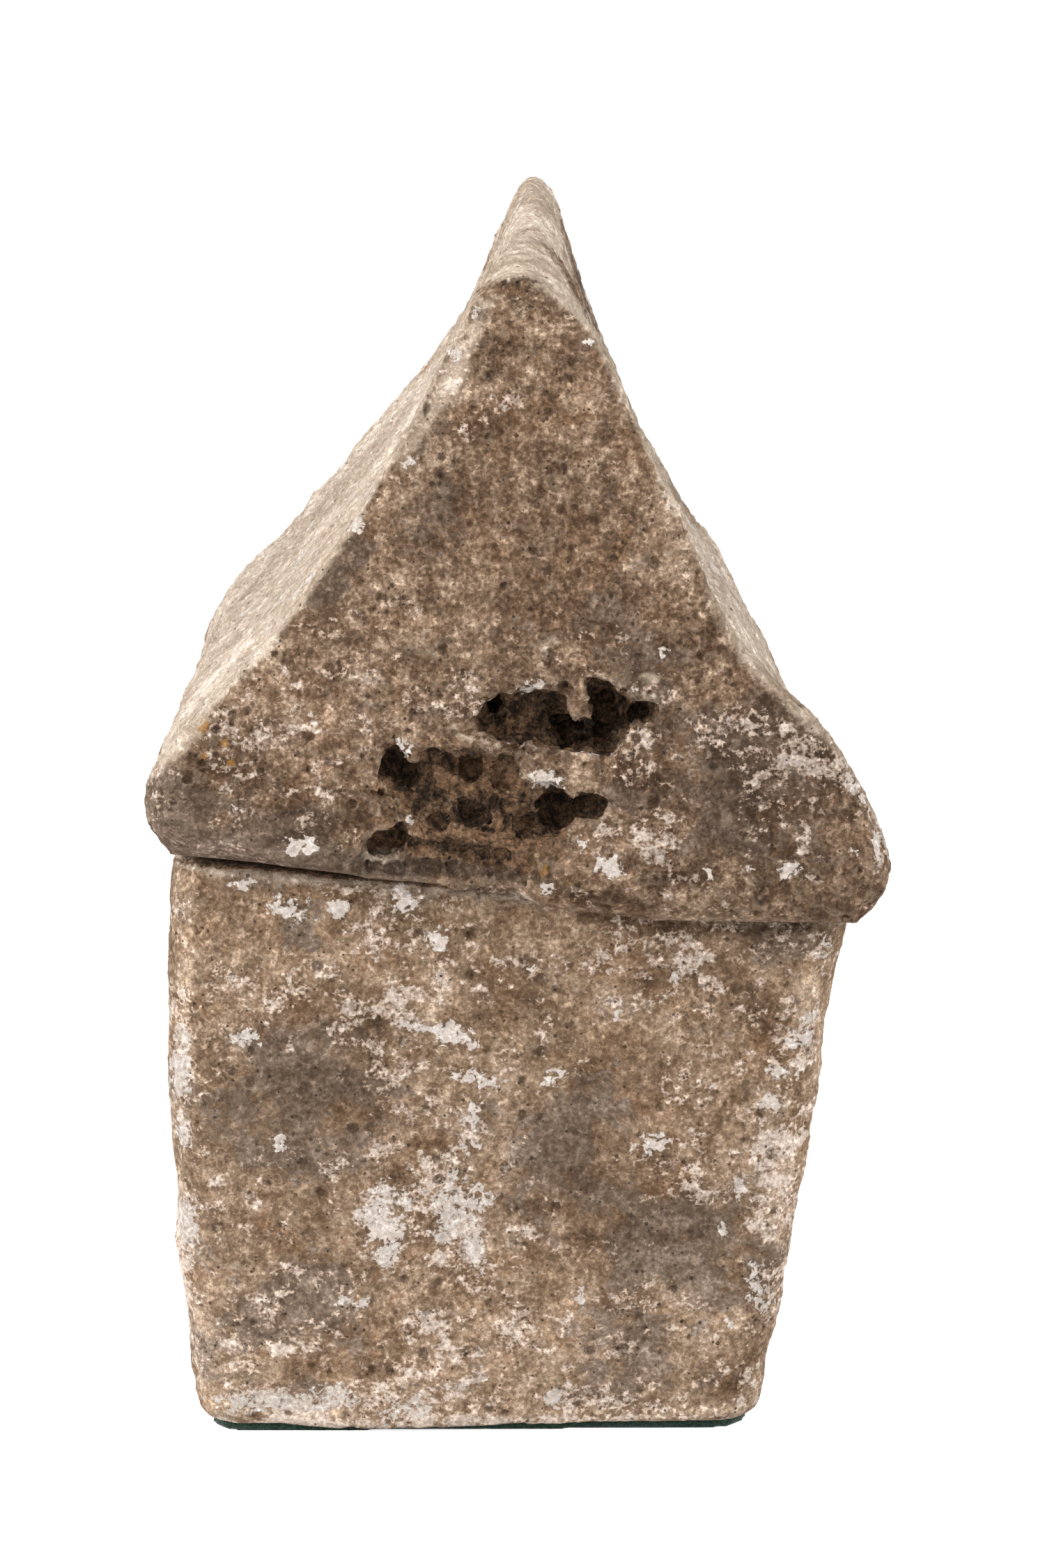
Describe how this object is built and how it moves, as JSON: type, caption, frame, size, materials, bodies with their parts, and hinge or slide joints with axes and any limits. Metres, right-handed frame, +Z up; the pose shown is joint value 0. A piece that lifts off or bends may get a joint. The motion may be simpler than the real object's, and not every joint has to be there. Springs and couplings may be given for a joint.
{
  "type": "lidded stone burial urn",
  "caption": "Free-standing hollow stone chest that tapers down, under a loose steep gabled stone lid that lifts off, with a felt sheet under its base.",
  "frame": {"origin": "middle of the urn's bounding box in X and Y, on the resting surface under the felt", "axes": "+Z up; -Y faces the worn gable end that the picture shows; X runs across that end"},
  "size_m": [0.3368, 0.4032, 0.5511],
  "materials": {
    "chest_stone": "weathered, point-dressed limestone with lime patches",
    "lid_stone": "weathered, pitted limestone with grey-brown patina",
    "felt": "dark green felt"
  },
  "bodies": {
    "chest": {"chest": "chest_stone", "base_felt": "felt"},
    "lid": {"lid": "lid_stone"}
  },
  "joints": [
    {"name": "lid_lift", "type": "slide", "parent": "chest", "child": "lid", "axis": [0, 0, 1], "range_m": [0, 0.32]}
  ]
}
